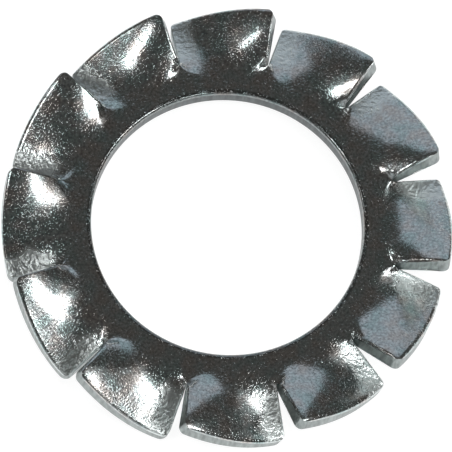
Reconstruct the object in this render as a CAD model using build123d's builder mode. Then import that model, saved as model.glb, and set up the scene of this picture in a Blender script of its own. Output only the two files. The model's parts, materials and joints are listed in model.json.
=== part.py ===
"""Toothed lock washer: a flat sheet ring whose rim is slit all round into twisted teeth.

One piece, pressed from sheet steel. Each tooth keeps its root in the plane of the ring and is
twisted about its own radial centre line, so that one corner stands up and the other hangs down.

Frame: millimetres, +Z along the bore, origin at the bore's centre on the ring's middle plane.
"""

from math import cos, degrees, pi, radians, sin, tan
import os

from build123d import *

# --- Driving dimensions ----------------------------------------------------------------------
bore_diameter = 13.0
ring_width = 1.7  # solid ring, from the bore wall to the slit roots
slit_length = 2.55  # from a slit root out to the rim
sheet_thickness = 0.95
tooth_count = 12
tooth_twist = 27.5  # degrees at the rim, counter-clockwise corner down
tooth_lift = 0.1  # rise of a tooth's centre line from the fold to the rim
slit_width_at_root = 0.15
slit_width_at_rim = 0.6
bore_edge_radius = 0.2  # rolled edge where the punch entered
tooth_corner_radius = 0.35

# --- Worked out from them --------------------------------------------------------------------
bore_radius = bore_diameter / 2
slit_root_radius = bore_radius + ring_width
rim_radius = slit_root_radius + slit_length
half_pitch = pi / tooth_count

# A tooth leaves the ring along a straight fold line between two slit roots, so the ring's
# outer boundary is a polygon with one side for each tooth.
fold_distance = slit_root_radius * cos(half_pitch)
tooth_length = rim_radius - fold_distance

# --- Tooth -----------------------------------------------------------------------------------
# The section across the tooth is the sheet's rectangle, turned about the radial centre line.
section_count = 6
loft_length = 1.15 * tooth_length  # past the rim, which then trims it


def bend_at(share):
    """Part of the twist and lift that a tooth has at a share of its length: all of it by the rim."""
    remaining = max(1 - share, 0)
    return 1 - remaining**4 * (1 + 4 * share)


def slit_width_at(share):
    """Width of the slit seen from above, which widens outwards as the teeth turn away."""
    return slit_width_at_root + (slit_width_at_rim - slit_width_at_root) * share


with BuildPart() as tooth:
    for index in range(section_count):
        reach = loft_length * index / (section_count - 1)
        distance = fold_distance + reach
        share = reach / tooth_length
        twist = radians(tooth_twist) * bend_at(share)
        height = tooth_lift * bend_at(share)
        plan_width = 2 * distance * tan(half_pitch) - slit_width_at(share)
        across_tooth = (0, cos(twist), -sin(twist))
        with BuildSketch(Plane(origin=(distance, 0, height), x_dir=across_tooth, z_dir=(1, 0, 0))):
            Rectangle(plan_width / cos(twist), sheet_thickness)
    loft()

    # The rim was cut square to the sheet while it was flat, so it leans with the tooth.
    rim_normal = (0, sin(radians(tooth_twist)), cos(radians(tooth_twist)))
    with BuildSketch(Plane(origin=(0, 0, tooth_lift), x_dir=(-1, 0, 0), z_dir=rim_normal)):
        Circle(rim_radius)
    extrude(amount=2 * sheet_thickness, both=True, mode=Mode.INTERSECT)

    rim_wall = tooth.faces().sort_by(Axis.X)[-1]
    corner_edges = rim_wall.edges().sort_by(SortBy.LENGTH)[:2]
    fillet(corner_edges, tooth_corner_radius)

# --- Washer ----------------------------------------------------------------------------------
with BuildPart() as lock_washer:
    with BuildSketch(Plane.XY.offset(-sheet_thickness / 2)):
        RegularPolygon(slit_root_radius, tooth_count, rotation=degrees(half_pitch))
        Circle(bore_radius, mode=Mode.SUBTRACT)
    extrude(amount=sheet_thickness)

    bore_upper_edge = lock_washer.edges().filter_by(GeomType.CIRCLE).sort_by(Axis.Z)[-1]
    fillet(bore_upper_edge, bore_edge_radius)

    with PolarLocations(0, tooth_count):
        add(tooth.part)

lock_washer.part.label = "lock_washer"
os.makedirs("parts", exist_ok=True)
export_step(lock_washer.part, "parts/lock_washer.step")
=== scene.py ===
import bpy
import json
import math
from mathutils import Matrix, Vector


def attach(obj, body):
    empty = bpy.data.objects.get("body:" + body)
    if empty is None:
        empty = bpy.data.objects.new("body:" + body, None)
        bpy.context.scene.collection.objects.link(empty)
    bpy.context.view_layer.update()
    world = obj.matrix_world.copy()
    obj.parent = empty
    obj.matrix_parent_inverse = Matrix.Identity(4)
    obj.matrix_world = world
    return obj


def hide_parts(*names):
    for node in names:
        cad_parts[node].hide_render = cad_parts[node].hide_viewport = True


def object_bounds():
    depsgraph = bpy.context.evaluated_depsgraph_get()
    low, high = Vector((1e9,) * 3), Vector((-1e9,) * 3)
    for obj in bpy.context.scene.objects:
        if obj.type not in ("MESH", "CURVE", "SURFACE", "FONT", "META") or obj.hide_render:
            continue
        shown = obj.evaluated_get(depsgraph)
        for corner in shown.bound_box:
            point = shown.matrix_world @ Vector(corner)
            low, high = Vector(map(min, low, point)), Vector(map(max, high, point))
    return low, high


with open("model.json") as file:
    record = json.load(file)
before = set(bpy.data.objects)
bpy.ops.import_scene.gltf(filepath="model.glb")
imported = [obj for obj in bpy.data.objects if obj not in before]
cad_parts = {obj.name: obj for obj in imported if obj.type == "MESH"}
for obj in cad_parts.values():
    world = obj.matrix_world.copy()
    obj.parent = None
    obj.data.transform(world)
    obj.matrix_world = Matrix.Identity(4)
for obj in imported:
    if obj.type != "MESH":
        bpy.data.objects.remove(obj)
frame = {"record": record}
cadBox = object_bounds()
mm = 0.001
boreRadius = frame["record"]["mounts"][0]["dims"]["r_mm"]
noiseSpan = (0.3, 0.7)  # nearly all of a noise texture lies between these


def linear(hexColour):
    parts = [int(hexColour[i:i + 2], 16) / 255 for i in (1, 3, 5)]
    return [c / 12.92 if c <= 0.04045 else ((c + 0.055) / 1.055) ** 2.4 for c in parts] + [1]


# adds one node, sets its properties, and fills its inputs with values or with (node, output)
def addNode(tree, kind, settings=None, inputs=None):
    node = tree.nodes.new(kind)
    for name, value in (settings or {}).items():
        setattr(node, name, value)
    for key, value in (inputs or {}).items():
        socket = node.inputs[key]
        if isinstance(value, tuple) and isinstance(value[0], bpy.types.Node):
            tree.links.new(value[0].outputs[value[1]], socket)
        else:
            socket.default_value = value
    return node


# rises from 0 to 1 between two distances from the bore wall, in millimetres
def addAwayFromBore(tree, place, span):
    flat = addNode(tree, "ShaderNodeVectorMath", {"operation": "MULTIPLY"}, {
        0: (place, "Object"), 1: (1 / mm, 1 / mm, 0)})
    radius = addNode(tree, "ShaderNodeVectorMath", {"operation": "LENGTH"}, {0: (flat, 0)})
    return addNode(tree, "ShaderNodeMapRange", {"interpolation_type": "SMOOTHSTEP"}, {
        "Value": (radius, "Value"), "From Min": boreRadius + span[0], "From Max": boreRadius + span[1]})


print("finishes")

# sizes in millimetres
plating = {
    "tints": ("#dcd8d4", "#d9dfdf", "#cbdcdb"),  # interference colours of the passivated zinc
    "tintStops": (0.34, 0.5, 0.66),  # noise values at which these stand
    "tint": 0.9,  # size of a tinted patch
    "roughness": 0.15,
    "grain": 0.08,  # the zinc's own grain is nearer 0.01 and is drawn this coarse to show
    "grainDepth": 0.005,
    "mottle": 0.12,  # size of a dull speck
    "mottling": (0.6, 1.0),  # how much light the metal keeps where it is dullest and brightest
    "pit": 0.085,  # knocks from the plating barrel, also drawn coarse enough to show
    "pitDepth": 0.0095,
    "pitShare": (0.575, 0.87),  # part of the noise that becomes pits
    "pitRoughness": 0.3,
    "boreEdge": (0.16, 0.28),  # distances from the bore wall over which its rolled edge ends
    "boreEdgePits": 3.2,  # times deeper on the rolled edge
    "boreEdgeDulling": 0.5,  # painted shade: share of its brightness that the rolled edge keeps where it turns into the bore
    "ripple": 1.4,  # slow unevenness of the pressed surface
    "rippleDepth": 0.02,
    "bruise": 0.2,  # dents left by the die on the lowered side of a tooth
    "bruiseDepth": 0.06,
    "bruiseRoughness": 0.28,
    # paler teal of the dented zinc, lightened further as painted light on the strip
    "bruiseColour": "#e4ebea",
    "bruiseFrom": (0.4, 0.62),  # shares of a half tooth between which the bruised strip starts
    "bruiseEdge": 1.1,  # size of the bends in the strip's edge
    "bruiseWander": 0.6,  # how far they reach, as a share of a half tooth
    "bruiseOutwards": (0.3, 0.6),  # shares of the twist between which the strip starts
}


# Bright zinc plate over pressed steel, blue passivated in a barrel: a mirror with fine pits, faint
# interference tints, and a duller dented strip on each tooth where the die pushed it down, its colour
# lightened as painted light. The rolled edge of the bore is darkened as painted shade.
def makeBrightZincPlate():
    material = bpy.data.materials.new("brightZincPlate")
    material.use_nodes = True
    tree = material.node_tree
    tree.nodes.clear()
    place = addNode(tree, "ShaderNodeTexCoord")
    inMillimetres = addNode(tree, "ShaderNodeVectorMath", {"operation": "SCALE"}, {
        0: (place, "Object"), "Scale": 1 / mm})
    noise = {}
    for name, detail in (("ripple", 1.0), ("bruise", 3.0), ("bruiseEdge", 2.0), ("grain", 2.0),
                         ("mottle", 2.0), ("pit", 1.0), ("tint", 2.0)):
        noise[name] = addNode(tree, "ShaderNodeTexNoise", None, {
            "Vector": (inMillimetres, 0), "Scale": 1 / plating[name], "Detail": detail})

    # the bruised strip, with an edge that wanders
    side = addNode(tree, "ShaderNodeAttribute", {"attribute_name": "side"})
    turnShare = addNode(tree, "ShaderNodeAttribute", {"attribute_name": "turnShare"})
    wander = addNode(tree, "ShaderNodeMath", {"operation": "MULTIPLY_ADD"}, {
        0: (noise["bruiseEdge"], 0), 1: plating["bruiseWander"], 2: (side, "Fac")})
    lowered = addNode(tree, "ShaderNodeMapRange", {"interpolation_type": "SMOOTHSTEP"}, {
        "Value": (wander, 0),
        "From Min": plating["bruiseFrom"][0] + plating["bruiseWander"] / 2,
        "From Max": plating["bruiseFrom"][1] + plating["bruiseWander"] / 2})
    onTooth = addNode(tree, "ShaderNodeMapRange", {"interpolation_type": "SMOOTHSTEP"}, {
        "Value": (turnShare, "Fac"),
        "From Min": plating["bruiseOutwards"][0], "From Max": plating["bruiseOutwards"][1]})
    bruised = addNode(tree, "ShaderNodeMath", {"operation": "MULTIPLY"}, {
        0: (lowered, 0), 1: (onTooth, 0)})

    # relief, from the slowest to the finest
    dent = addNode(tree, "ShaderNodeMath", {"operation": "SUBTRACT"}, {0: (noise["bruise"], 0), 1: 0.5})
    dents = addNode(tree, "ShaderNodeMath", {"operation": "MULTIPLY"}, {0: (dent, 0), 1: (bruised, 0)})
    pits = addNode(tree, "ShaderNodeMapRange", None, {
        "Value": (noise["pit"], 0),
        "From Min": plating["pitShare"][0], "From Max": plating["pitShare"][1]})
    awayFromBore = addAwayFromBore(tree, place, plating["boreEdge"])
    deepening = addNode(tree, "ShaderNodeMapRange", None, {
        "Value": (awayFromBore, 0), "To Min": plating["boreEdgePits"], "To Max": 1.0})
    deepened = addNode(tree, "ShaderNodeMath", {"operation": "MULTIPLY"}, {
        0: (pits, 0), 1: (deepening, 0)})
    relief = None
    for depth, height in (("rippleDepth", noise["ripple"]), ("bruiseDepth", dents),
                          ("grainDepth", noise["grain"]), ("pitDepth", deepened)):
        inputs = {"Distance": plating[depth] * mm, "Height": (height, 0)}
        if relief is not None:
            inputs["Normal"] = (relief, "Normal")
        relief = addNode(tree, "ShaderNodeBump", None, inputs)

    smoothHere = addNode(tree, "ShaderNodeMapRange", None, {
        "Value": (bruised, 0), "To Min": plating["roughness"], "To Max": plating["bruiseRoughness"]})
    roughness = addNode(tree, "ShaderNodeMapRange", None, {
        "Value": (pits, 0), "To Min": (smoothHere, 0), "To Max": plating["pitRoughness"]})

    tint = addNode(tree, "ShaderNodeValToRGB", None, {"Fac": (noise["tint"], 0)})
    stops = tint.color_ramp.elements
    stops.new(plating["tintStops"][1])
    for stop, position, colour in zip(stops, plating["tintStops"], plating["tints"]):
        stop.position, stop.color = position, linear(colour)
    dulling = addNode(tree, "ShaderNodeMapRange", None, {
        "Value": (noise["mottle"], 0), "From Min": noiseSpan[0], "From Max": noiseSpan[1],
        "To Min": plating["mottling"][0], "To Max": plating["mottling"][1]})
    # painted shade: the base colour is darkened on the rolled edge of the bore
    boreEdgeShade = addNode(tree, "ShaderNodeMapRange", None, {
        "Value": (awayFromBore, 0), "To Min": plating["boreEdgeDulling"]})
    kept = addNode(tree, "ShaderNodeMath", {"operation": "MULTIPLY"}, {
        0: (dulling, 0), 1: (boreEdgeShade, 0)})
    mottledAndShaded = addNode(tree, "ShaderNodeVectorMath", {"operation": "SCALE"}, {
        0: (tint, "Color"), "Scale": (kept, 0)})
    # the dented strip takes a paler colour: partly its own teal, partly painted light
    colour = addNode(tree, "ShaderNodeMix", {"data_type": "RGBA"}, {
        0: (bruised, 0), 6: (mottledAndShaded, 0), 7: linear(plating["bruiseColour"])})
    shader = addNode(tree, "ShaderNodeBsdfPrincipled", None, {
        "Base Color": (colour, 2), "Metallic": 1.0, "Roughness": (roughness, 0),
        "Normal": (relief, "Normal")})
    addNode(tree, "ShaderNodeOutputMaterial", None, {"Surface": (shader, "BSDF")})
    return material


# sizes in millimetres
shearing = {
    # the sheared metal's own duller grey, darkened partly as painted shade of the shaded floor these walls
    # mirror
    "colour": "#9ca4a3",
    "boreColour": "#5f6566",  # painted shade in the bore, darker than the other sheared walls
    "boreWall": (0.1, 0.2),  # distances from the bore wall over which that colour ends
    "roughness": 0.36,
    "streak": 0.09,  # width of a shear mark
    "streakLength": 0.7,
    "streakDepth": 0.012,
    "blotch": 0.16,
    "blotching": (0.62, 1.15),  # light kept in a dull blotch and in a bright one
}


# Zinc plate on sheared steel: duller, with marks that run through the thickness. Its grey is
# darkened partly as painted shade, and more so on the bore wall.
def makeShearedZincEdge():
    material = bpy.data.materials.new("shearedZincEdge")
    material.use_nodes = True
    tree = material.node_tree
    tree.nodes.clear()
    place = addNode(tree, "ShaderNodeTexCoord")
    inMillimetres = addNode(tree, "ShaderNodeMapping", None, {
        "Vector": (place, "Object"),
        "Scale": (1 / mm, 1 / mm, shearing["streak"] / shearing["streakLength"] / mm)})
    marks = addNode(tree, "ShaderNodeTexNoise", None, {
        "Vector": (inMillimetres, "Vector"), "Scale": 1 / shearing["streak"], "Detail": 2.0})
    bump = addNode(tree, "ShaderNodeBump", None, {
        "Distance": shearing["streakDepth"] * mm, "Height": (marks, "Fac")})
    # the bore wall gets painted shade: a darker grey that ends a little way from it
    colour = addNode(tree, "ShaderNodeMix", {"data_type": "RGBA"}, {
        0: (addAwayFromBore(tree, place, shearing["boreWall"]), 0),
        6: linear(shearing["boreColour"]), 7: linear(shearing["colour"])})
    blotch = addNode(tree, "ShaderNodeTexNoise", None, {
        "Vector": (inMillimetres, "Vector"), "Scale": 1 / shearing["blotch"], "Detail": 2.0})
    kept = addNode(tree, "ShaderNodeMapRange", None, {
        "Value": (blotch, "Fac"), "From Min": noiseSpan[0], "From Max": noiseSpan[1],
        "To Min": shearing["blotching"][0], "To Max": shearing["blotching"][1]})
    blotched = addNode(tree, "ShaderNodeVectorMath", {"operation": "SCALE"}, {
        0: (colour, 2), "Scale": (kept, 0)})
    shader = addNode(tree, "ShaderNodeBsdfPrincipled", None, {
        "Base Color": (blotched, 0), "Metallic": 1.0, "Roughness": shearing["roughness"],
        "Normal": (bump, "Normal")})
    addNode(tree, "ShaderNodeOutputMaterial", None, {"Surface": (shader, "BSDF")})
    return material


brightZincPlate = makeBrightZincPlate()
shearedZincEdge = makeShearedZincEdge()

print("washer")

# sizes in millimetres, angles in degrees
washer = {
    "boreRadius": boreRadius,
    "rimRadius": cadBox[1].x / mm,
    "slitRoot": 8.2,  # radius at which the slits end
    "foldStart": 7.1,  # distance from the axis at which the ring starts to bend
    "sheet": 0.95,
    "toothCount": 12,
    "twist": 26.7,
    "twistPace": 3.5,  # how soon after the fold the twist is complete
    "lift": 0.125,  # how far a tooth's middle stands above the ring
    "bow": 0.11,  # how far both sides of a tooth curl up
    "curl": 0.24,  # how far its sides level out
    "rimDip": 0.05,  # how far the outer part of a tooth bends down
    "dipStart": 0.57,  # share of the way from the fold to the rim at which that begins
    "slitAtRoot": 0.06,
    "slitAtRim": 0.6,
    "slitOpening": 0.6,  # below 1, the slit opens fast near its root
    "boreEdge": 0.2,  # width and depth of the rolled edge of the bore
    "rimEdge": 0.22,
    "rimEdgeDrop": 0.13,
    "slitEdge": 0.07,
    "cornerRadius": 0.35,
    "blend": 0.9,  # share of a half tooth that is drawn smooth at the fold
    "rootBlend": 0.14,  # and at the end of the slit
    "parting": 0.2,  # length over which the two edges of a slit part
    "unevenness": 0.04,
    "seed": 4,
    "crease": 38,  # edges bent more than this are shaded sharp
    "weld": 0.0005,
    "columns": 22,  # faces across a half tooth
    "boreEdgeRows": 6,
    "ringRows": 14,
    "toothRows": 34,
}


def smooth(t):
    t = min(max(t, 0.0), 1.0)
    return t * t * (3 - 2 * t)


# 0 where the ring starts to bend, 1 at the rim
def foldShare(distance):
    return (distance - washer["foldStart"]) / (washer["rimRadius"] - washer["foldStart"])


# how much of the twist a point at this distance along the tooth has
def twistShare(distance):
    share = min(max(foldShare(distance), 0.0), 1.0)
    pace = washer["twistPace"]
    return 1 - (1 - share) ** pace * (1 + pace * share)


# the ring's metal holds the two sides of a slit together at its end, so the twist fades out there
def twistHeld(side, radius, onTooth):
    root = washer["slitRoot"]
    inside = max((root - radius) / (root - washer["foldStart"]), 0)
    width = washer["rootBlend"] + (washer["blend"] - washer["rootBlend"]) * inside
    hold = smooth((1 - abs(side)) / width)
    return hold + (1 - hold) * smooth((radius - root) / washer["parting"]) if onTooth else hold


def halfWidth(distance):
    halfPitch = math.pi / washer["toothCount"]
    root = washer["slitRoot"]
    share = min(max((distance - root) / (washer["rimRadius"] - root), 0.0), 1.0)
    opening = (washer["slitAtRim"] - washer["slitAtRoot"]) * share ** washer["slitOpening"]
    slit = washer["slitAtRoot"] + opening if distance > root * math.cos(halfPitch) else 0
    return distance * math.tan(halfPitch) - slit / 2


# distances inwards from the rim and from the nearer slit, seen from above
def edgeDistances(x, y):
    stretch = math.cos(math.radians(washer["twist"]))
    fromRim = washer["rimRadius"] - math.hypot(x, y / stretch)
    fromSlit = halfWidth(x) - abs(y)
    return fromRim, fromSlit


def insideOutline(x, y):
    fromRim, fromSlit = edgeDistances(x, y)
    corner = washer["cornerRadius"]
    if fromRim < corner and fromSlit < corner:
        return corner - math.hypot(corner - fromRim, corner - fromSlit)
    return min(fromRim, fromSlit)


# how far out a line at this share of the half width runs before it meets the outline
def lineEnd(side, start):
    low, high = start, washer["rimRadius"]
    while high - low > 1e-10:
        x = (low + high) / 2
        if x < washer["slitRoot"] or insideOutline(x, side * halfWidth(x)) > 1e-7:
            low = x
        else:
            high = x
    return low


# a rolled edge: how far the upper face has dropped at this distance from an edge
def rollDrop(distance, width, depth):
    t = min(max(distance / width, 0.0), 1.0)
    return depth * (1 - math.sqrt(max(1 - (1 - t) ** 2, 0.0)))


def upperHeight(x, y, onTooth):
    fromBore = math.hypot(x, y) - washer["boreRadius"]
    drop = rollDrop(fromBore, washer["boreEdge"], washer["boreEdge"])
    if onTooth:
        fromRim, fromSlit = edgeDistances(x, y)
        drop = max(drop, rollDrop(fromRim, washer["rimEdge"], washer["rimEdgeDrop"]))
        drop = max(drop, rollDrop(fromSlit, washer["slitEdge"], washer["slitEdge"]))
    return washer["sheet"] / 2 - drop


# radii of the rows from the bore to the slit roots, close together on the rolled edge
def ringRadii():
    edgeRows, rows = washer["boreEdgeRows"], washer["ringRows"]
    quarter = math.pi / 2
    radii = [washer["boreRadius"] + washer["boreEdge"] * (1 - math.cos(quarter * i / edgeRows))
             for i in range(edgeRows + 1)]
    start, gap = radii[-1], washer["slitRoot"] - radii[-1]
    return radii + [start + gap * i / rows for i in range(1, rows + 1)]


# one tooth with its share of the ring, flat, as seen from above; x runs outwards along the tooth
def makeToothBlank():
    halfPitch = math.pi / washer["toothCount"]
    columns, toothRows = washer["columns"], washer["toothRows"]
    radii = ringRadii()
    rootRow = len(radii) - 1
    rowCount = len(radii) + toothRows
    sides = [math.sin(math.pi / 2 * i / columns) for i in range(-columns, columns + 1)]
    lines = []
    for u in sides:
        line = [(r * math.cos(u * halfPitch), r * math.sin(u * halfPitch)) for r in radii]
        start = line[-1][0]
        end = lineEnd(u, start)
        for i in range(1, toothRows + 1):
            x = start + (end - start) * math.sin(math.pi / 2 * i / toothRows)
            line.append((x, u * halfWidth(x)))
        lines.append(line)

    points = []
    values = {"turnShare": [], "side": [], "outer": [], "reach": []}
    for upper in (True, False):
        for u, line in zip(sides, lines):
            for row, (x, y) in enumerate(line):
                onTooth = row > rootRow
                height = upperHeight(x, y, onTooth) if upper else -washer["sheet"] / 2
                points.append((x * mm, y * mm, height * mm))
                dipShare = max(foldShare(x) - washer["dipStart"], 0) / (1 - washer["dipStart"])
                values["turnShare"].append(twistShare(x) * twistHeld(u, math.hypot(x, y), onTooth))
                values["side"].append(u)
                values["outer"].append(dipShare)
                values["reach"].append(halfWidth(x) * mm)

    def at(face, i, row):
        return (face * len(sides) + i) * rowCount + row

    faces, sheared = [], []
    for i in range(len(sides) - 1):
        for row in range(rowCount - 1):
            faces.append((at(0, i, row), at(0, i, row + 1), at(0, i + 1, row + 1), at(0, i + 1, row)))
            faces.append((at(1, i, row), at(1, i + 1, row), at(1, i + 1, row + 1), at(1, i, row + 1)))
            sheared += [False, False]
        for row, forward in ((0, True), (rowCount - 1, False)):
            wall = (at(0, i, row), at(0, i + 1, row), at(1, i + 1, row), at(1, i, row))
            faces.append(wall if forward else wall[::-1])
            sheared.append(True)
    for i, forward in ((0, False), (len(sides) - 1, True)):
        for row in range(rootRow, rowCount - 1):
            wall = (at(0, i, row), at(0, i, row + 1), at(1, i, row + 1), at(1, i, row))
            faces.append(wall[::-1] if forward else wall)
            sheared.append(True)
    mesh = bpy.data.meshes.new("toothBlank")
    mesh.from_pydata(points, [], faces)
    for name, value in values.items():
        mesh.attributes.new(name, "FLOAT", "POINT").data.foreach_set("value", value)
    mesh.attributes.new("sheared", "BOOLEAN", "FACE").data.foreach_set("value", sheared)
    return mesh


# repeats the blank round the ring; each copy keeps its angle and a chance value
def addRingOfTeeth(tree, given):
    index = addNode(tree, "GeometryNodeInputIndex")
    pitch = addNode(tree, "ShaderNodeMath", {"operation": "DIVIDE"}, {
        0: 2 * math.pi, 1: (given, "toothCount")})
    angle = addNode(tree, "ShaderNodeMath", {"operation": "MULTIPLY"}, {0: (pitch, 0), 1: (index, 0)})
    turned = addNode(tree, "ShaderNodeCombineXYZ", None, {"Z": (angle, 0)})
    places = addNode(tree, "GeometryNodeMeshLine", None, {
        "Count": (given, "toothCount"), "Offset": (0, 0, 0)})
    teeth = addNode(tree, "GeometryNodeInstanceOnPoints", None, {
        "Points": (places, "Mesh"), "Instance": (given, "Geometry"), "Rotation": (turned, 0)})
    chance = addNode(tree, "FunctionNodeRandomValue", {"data_type": "FLOAT"}, {
        2: -1.0, 3: 1.0, "ID": (index, 0), "Seed": (given, "seed")})
    onEach = {"domain": "INSTANCE", "data_type": "FLOAT"}
    keepAngle = addNode(tree, "GeometryNodeStoreNamedAttribute", onEach, {
        "Geometry": (teeth, 0), "Name": "angle", "Value": (angle, 0)})
    keepChance = addNode(tree, "GeometryNodeStoreNamedAttribute", onEach, {
        "Geometry": (keepAngle, 0), "Name": "chance", "Value": (chance, 1)})
    return addNode(tree, "GeometryNodeRealizeInstances", None, {"Geometry": (keepChance, 0)})


# where a point of a flat tooth goes when the tooth is twisted about its own centre line
def addTwistedPlace(tree, given):
    kept = {}
    for name in ("angle", "chance", "turnShare", "side", "outer", "reach"):
        kept[name] = addNode(tree, "GeometryNodeInputNamedAttribute", {"data_type": "FLOAT"}, {"Name": name})
    turnShare, side = (kept["turnShare"], 0), (kept["side"], 0)
    backwards = addNode(tree, "ShaderNodeMath", {"operation": "MULTIPLY"}, {
        0: (kept["angle"], 0), 1: -1.0})
    position = addNode(tree, "GeometryNodeInputPosition")
    flat = addNode(tree, "ShaderNodeVectorRotate", {"rotation_type": "Z_AXIS"}, {
        "Vector": (position, 0), "Angle": (backwards, 0)})
    parts = addNode(tree, "ShaderNodeSeparateXYZ", None, {0: (flat, 0)})

    # twist here = twist * (1 + unevenness * chance) * share
    vary = addNode(tree, "ShaderNodeMath", {"operation": "MULTIPLY_ADD"}, {
        0: (given, "unevenness"), 1: (kept["chance"], 0), 2: 1.0})
    fullTwist = addNode(tree, "ShaderNodeMath", {"operation": "MULTIPLY"}, {
        0: (given, "twist"), 1: (vary, 0)})
    twist = addNode(tree, "ShaderNodeMath", {"operation": "MULTIPLY"}, {
        0: (fullTwist, 0), 1: turnShare})
    fallRate = addNode(tree, "ShaderNodeMath", {"operation": "TANGENT"}, {0: (twist, 0)})

    # lean of the sheet: slope = tan twist - share * (2 * bow * side + curl * (4 * |side|^3 - 1/2)) / reach
    sideSize = addNode(tree, "ShaderNodeMath", {"operation": "ABSOLUTE"}, {0: side})
    cube = addNode(tree, "ShaderNodeMath", {"operation": "POWER"}, {0: (sideSize, 0), 1: 3.0})
    curlRate = addNode(tree, "ShaderNodeMath", {"operation": "MULTIPLY_ADD"}, {
        0: (cube, 0), 1: 4.0, 2: -0.5})
    bowRate = addNode(tree, "ShaderNodeMath", {"operation": "MULTIPLY"}, {0: side, 1: 2.0})
    bowSlope = addNode(tree, "ShaderNodeMath", {"operation": "MULTIPLY"}, {
        0: (given, "bow"), 1: (bowRate, 0)})
    bothSlopes = addNode(tree, "ShaderNodeMath", {"operation": "MULTIPLY_ADD"}, {
        0: (given, "curl"), 1: (curlRate, 0), 2: (bowSlope, 0)})
    perReach = addNode(tree, "ShaderNodeMath", {"operation": "DIVIDE"}, {
        0: (bothSlopes, 0), 1: (kept["reach"], 0)})
    levelling = addNode(tree, "ShaderNodeMath", {"operation": "MULTIPLY"}, {
        0: (perReach, 0), 1: turnShare})
    slope = addNode(tree, "ShaderNodeMath", {"operation": "SUBTRACT"}, {
        0: (fallRate, 0), 1: (levelling, 0)})
    leanAngle = addNode(tree, "ShaderNodeMath", {"operation": "ARCTANGENT"}, {0: (slope, 0)})
    sine = addNode(tree, "ShaderNodeMath", {"operation": "SINE"}, {0: (leanAngle, 0)})
    cosine = addNode(tree, "ShaderNodeMath", {"operation": "COSINE"}, {0: (leanAngle, 0)})

    # across = y + z * sin lean, and height = z * cos lean - y * tan twist
    # + share * (lift + bow * (side^2 - 1/3) + curl * side * (|side|^3 - 1/2)) - rimDip * outer^2
    acrossTooth = addNode(tree, "ShaderNodeMath", {"operation": "MULTIPLY_ADD"}, {
        0: (parts, "Z"), 1: (sine, 0), 2: (parts, "Y")})
    lean = addNode(tree, "ShaderNodeMath", {"operation": "MULTIPLY"}, {
        0: (parts, "Z"), 1: (cosine, 0)})
    fall = addNode(tree, "ShaderNodeMath", {"operation": "MULTIPLY"}, {
        0: (parts, "Y"), 1: (fallRate, 0)})
    tilted = addNode(tree, "ShaderNodeMath", {"operation": "SUBTRACT"}, {0: (lean, 0), 1: (fall, 0)})
    square = addNode(tree, "ShaderNodeMath", {"operation": "MULTIPLY_ADD"}, {0: side, 1: side, 2: -1 / 3})
    bowed = addNode(tree, "ShaderNodeMath", {"operation": "MULTIPLY_ADD"}, {
        0: (given, "bow"), 1: (square, 0), 2: (given, "lift")})
    cubeLess = addNode(tree, "ShaderNodeMath", {"operation": "SUBTRACT"}, {0: (cube, 0), 1: 0.5})
    wave = addNode(tree, "ShaderNodeMath", {"operation": "MULTIPLY"}, {0: (cubeLess, 0), 1: side})
    curled = addNode(tree, "ShaderNodeMath", {"operation": "MULTIPLY_ADD"}, {
        0: (given, "curl"), 1: (wave, 0), 2: (bowed, 0)})
    raised = addNode(tree, "ShaderNodeMath", {"operation": "MULTIPLY_ADD"}, {
        0: (curled, 0), 1: turnShare, 2: (tilted, 0)})
    outerSquare = addNode(tree, "ShaderNodeMath", {"operation": "MULTIPLY"}, {
        0: (kept["outer"], 0), 1: (kept["outer"], 0)})
    dip = addNode(tree, "ShaderNodeMath", {"operation": "MULTIPLY"}, {
        0: (given, "rimDip"), 1: (outerSquare, 0)})
    height = addNode(tree, "ShaderNodeMath", {"operation": "SUBTRACT"}, {0: (raised, 0), 1: (dip, 0)})
    bent = addNode(tree, "ShaderNodeCombineXYZ", None, {
        "X": (parts, "X"), "Y": (acrossTooth, 0), "Z": (height, 0)})
    return addNode(tree, "ShaderNodeVectorRotate", {"rotation_type": "Z_AXIS"}, {
        "Vector": (bent, 0), "Angle": (kept["angle"], 0)})


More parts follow.
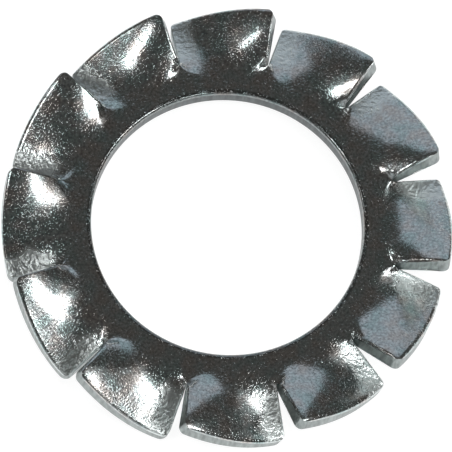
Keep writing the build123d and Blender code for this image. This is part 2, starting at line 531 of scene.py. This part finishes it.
# the whole washer from one flat tooth: repeated, twisted, welded and given its two finishes
def makeTwistTree():
    tree = bpy.data.node_groups.new("twistTeeth", "GeometryNodeTree")
    interface = tree.interface
    interface.new_socket("Geometry", in_out="INPUT", socket_type="NodeSocketGeometry")
    for name, kind in (("toothCount", "Int"), ("twist", "Float"), ("lift", "Float"), ("bow", "Float"),
                       ("curl", "Float"), ("rimDip", "Float"), ("unevenness", "Float"), ("seed", "Int"),
                       ("plate", "Material"), ("edge", "Material")):
        interface.new_socket(name, in_out="INPUT", socket_type="NodeSocket" + kind)
    interface.new_socket("Geometry", in_out="OUTPUT", socket_type="NodeSocketGeometry")
    given = addNode(tree, "NodeGroupInput")
    teeth = addRingOfTeeth(tree, given)
    moved = addNode(tree, "GeometryNodeSetPosition", None, {
        "Geometry": (teeth, 0), "Position": (addTwistedPlace(tree, given), 0)})
    welded = addNode(tree, "GeometryNodeMergeByDistance", None, {
        "Geometry": (moved, 0), "Distance": washer["weld"] * mm})
    corner = addNode(tree, "GeometryNodeInputMeshEdgeAngle")
    sharp = addNode(tree, "FunctionNodeCompare", {"data_type": "FLOAT", "operation": "GREATER_THAN"}, {
        0: (corner, "Unsigned Angle"), 1: math.radians(washer["crease"])})
    soft = addNode(tree, "GeometryNodeSetShadeSmooth", {"domain": "FACE"}, {
        "Geometry": (welded, 0), "Shade Smooth": True})
    crisp = addNode(tree, "GeometryNodeSetShadeSmooth", {"domain": "EDGE"}, {
        "Geometry": (soft, 0), "Selection": (sharp, 0), "Shade Smooth": False})
    wall = addNode(tree, "GeometryNodeInputNamedAttribute", {"data_type": "BOOLEAN"}, {"Name": "sheared"})
    plated = addNode(tree, "GeometryNodeSetMaterial", None, {
        "Geometry": (crisp, 0), "Material": (given, "plate")})
    edged = addNode(tree, "GeometryNodeSetMaterial", None, {
        "Geometry": (plated, 0), "Selection": (wall, 0), "Material": (given, "edge")})
    addNode(tree, "NodeGroupOutput", None, {"Geometry": (edged, 0)})
    return tree


def makeWasher():
    blank = bpy.data.objects.new("toothBlank", makeToothBlank())
    bpy.context.scene.collection.objects.link(blank)
    tree = makeTwistTree()
    modifier = blank.modifiers.new("twistTeeth", "NODES")
    modifier.node_group = tree
    values = {
        "toothCount": washer["toothCount"],
        "twist": math.radians(washer["twist"]),
        "lift": washer["lift"] * mm,
        "bow": washer["bow"] * mm,
        "curl": washer["curl"] * mm,
        "rimDip": washer["rimDip"] * mm,
        "unevenness": washer["unevenness"],
        "seed": washer["seed"],
        "plate": brightZincPlate,
        "edge": shearedZincEdge,
    }
    for socket in tree.interface.items_tree:
        if socket.in_out == "INPUT" and socket.name in values:
            modifier[socket.identifier] = values[socket.name]
    bpy.context.view_layer.update()
    evaluated = blank.evaluated_get(bpy.context.evaluated_depsgraph_get())
    mesh = bpy.data.meshes.new_from_object(evaluated)
    mesh.name = "washerPlate"
    piece = bpy.data.objects.new("washerPlate", mesh)
    bpy.context.scene.collection.objects.link(piece)
    bpy.data.objects.remove(blank)
    return piece


washerPlate = makeWasher()
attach(washerPlate, "root")
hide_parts("lock_washer")

print("studio")

# distances in metres
studio = {
    "floor": "#ffffff",
    "floorSize": 4.0,
    "floorGlow": 1.18,
    "floorGlowShare": 0.72,  # the rest of what is seen is the lit floor, which keeps the shadow
    "surroundings": "#4d4c4a",
    "lampDistance": 0.32,
    "fillDistance": 0.4,  # the lamps named Fill stand behind the others
    # azimuth anticlockwise from +X, elevation, width and height in degrees as the washer sees the
    # lamp, colour and brightness
    "lamps": {
        "rightSoftbox": (332, 46, 22, 13, "#ffffff", 6.5),
        "rightEdgeBox": (354, 48, 12, 9, "#ffffff", 3.0),
        "rightFill": (4, 46, 24, 26, "#ffffff", 0.28),
        "rightUpperFill": (322, 56, 34, 14, "#ffffff", 0.12),
        "frontStrip": (294, 41, 14, 7, "#ffffff", 6.0),
        "leftSoftbox": (202, 43, 9, 8, "#ffffff", 4.0),
        "leftUpperBox": (196, 49.5, 9, 7, "#ffffff", 10.5),
        "leftStrip": (172, 34, 7, 7, "#ffffff", 5.0),
        "leftFill": (190, 44, 34, 22, "#ffffff", 0.07),
        "frontFill": (262, 14, 90, 22, "#dfe2e4", 0.5),
        "farCard": (86, 27, 62, 38, "#a0a9b3", 1.0),
        "overheadFill": (76, 72, 70, 70, "#ffffff", 1.6),
    },
    "diffuseOnly": ["overheadFill"],  # lights the floor and is not mirrored in the metal
}


def direction(azimuth, elevation):
    a, e = math.radians(azimuth), math.radians(elevation)
    return Vector((math.cos(a) * math.cos(e), math.sin(a) * math.cos(e), math.sin(e)))


def makeLamps():
    for name, (azimuth, elevation, width, height, colour, strength) in studio["lamps"].items():
        data = bpy.data.lights.new(name, "AREA")
        data.shape = "RECTANGLE"
        distance = studio["fillDistance" if name.endswith("Fill") else "lampDistance"]
        data.size = 2 * distance * math.tan(math.radians(width / 2))
        data.size_y = 2 * distance * math.tan(math.radians(height / 2))
        data.color = linear(colour)[:3]
        data.energy = strength * math.pi * data.size * data.size_y  # watts for this brightness
        lamp = bpy.data.objects.new(name, data)
        towards = direction(azimuth, elevation)
        lamp.location = towards * distance
        lamp.rotation_euler = towards.to_track_quat("Z", "Y").to_euler()
        lamp.visible_camera = False
        lamp.visible_glossy = name not in studio["diffuseOnly"]
        bpy.context.scene.collection.objects.link(lamp)


def makeFloor():
    size = studio["floorSize"] / 2
    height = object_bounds()[0].z
    corners = [(-size, -size, height), (size, -size, height), (size, size, height), (-size, size, height)]
    mesh = bpy.data.meshes.new("floor")
    mesh.from_pydata(corners, [], [(0, 1, 2, 3)])
    floor = bpy.data.objects.new("floor", mesh)
    bpy.context.scene.collection.objects.link(floor)
    material = bpy.data.materials.new("paleFloor")
    material.use_nodes = True
    tree = material.node_tree
    tree.nodes.clear()
    lit = addNode(tree, "ShaderNodeBsdfDiffuse", None, {"Color": linear(studio["floor"])})
    glow = addNode(tree, "ShaderNodeEmission", None, {
        "Color": linear(studio["floor"]), "Strength": studio["floorGlow"]})
    ray = addNode(tree, "ShaderNodeLightPath")
    seen = addNode(tree, "ShaderNodeMath", {"operation": "MAXIMUM"}, {
        0: (ray, "Is Camera Ray"), 1: (ray, "Is Glossy Ray")})
    seenThrough = addNode(tree, "ShaderNodeMath", {"operation": "MAXIMUM"}, {
        0: (seen, 0), 1: (ray, "Is Transmission Ray")})
    share = addNode(tree, "ShaderNodeMath", {"operation": "MULTIPLY"}, {
        0: (seenThrough, 0), 1: studio["floorGlowShare"]})
    mix = addNode(tree, "ShaderNodeMixShader", None, {"Fac": (share, 0), 1: (lit, 0), 2: (glow, 0)})
    addNode(tree, "ShaderNodeOutputMaterial", None, {"Surface": (mix, 0)})
    mesh.materials.append(material)


def makeSurroundings():
    world = bpy.data.worlds.new("studio")
    bpy.context.scene.world = world
    world.use_nodes = True
    tree = world.node_tree
    tree.nodes.clear()
    background = addNode(tree, "ShaderNodeBackground", None, {"Color": linear(studio["surroundings"])})
    addNode(tree, "ShaderNodeOutputWorld", None, {"Surface": (background, 0)})


camera = {
    "azimuth": -104.8,  # degrees anticlockwise from +X
    "elevation": 71.8,
    "turn": 1.4,  # degrees by which the washer is turned in the frame
    "target": (-0.095, -0.173, 0.447),  # millimetres, as is the frame's width
    "frameWidth": 21.5,
    "lens": 300.0,
    "clip": (0.01, 10),  # metres
}


def makeCamera():
    data = bpy.data.cameras.new("camera")
    data.lens = camera["lens"]
    data.clip_start, data.clip_end = camera["clip"]
    towards = direction(camera["azimuth"], camera["elevation"])
    turn = math.radians(camera["turn"])
    right = Vector((math.sin(turn), math.cos(turn), 0)).cross(towards).normalized()
    up = towards.cross(right)
    distance = camera["frameWidth"] * mm * data.lens / data.sensor_width
    place = Vector(camera["target"]) * mm + towards * distance
    eye = bpy.data.objects.new("camera", data)
    rows = [(right[i], up[i], towards[i], place[i]) for i in range(3)]
    eye.matrix_world = Matrix(rows + [(0, 0, 0, 1)])
    bpy.context.scene.collection.objects.link(eye)
    bpy.context.scene.camera = eye


makeLamps()
makeFloor()
makeSurroundings()
makeCamera()
bpy.context.scene.view_settings.view_transform = "Standard"

print("finished", len(washerPlate.data.polygons), "faces")
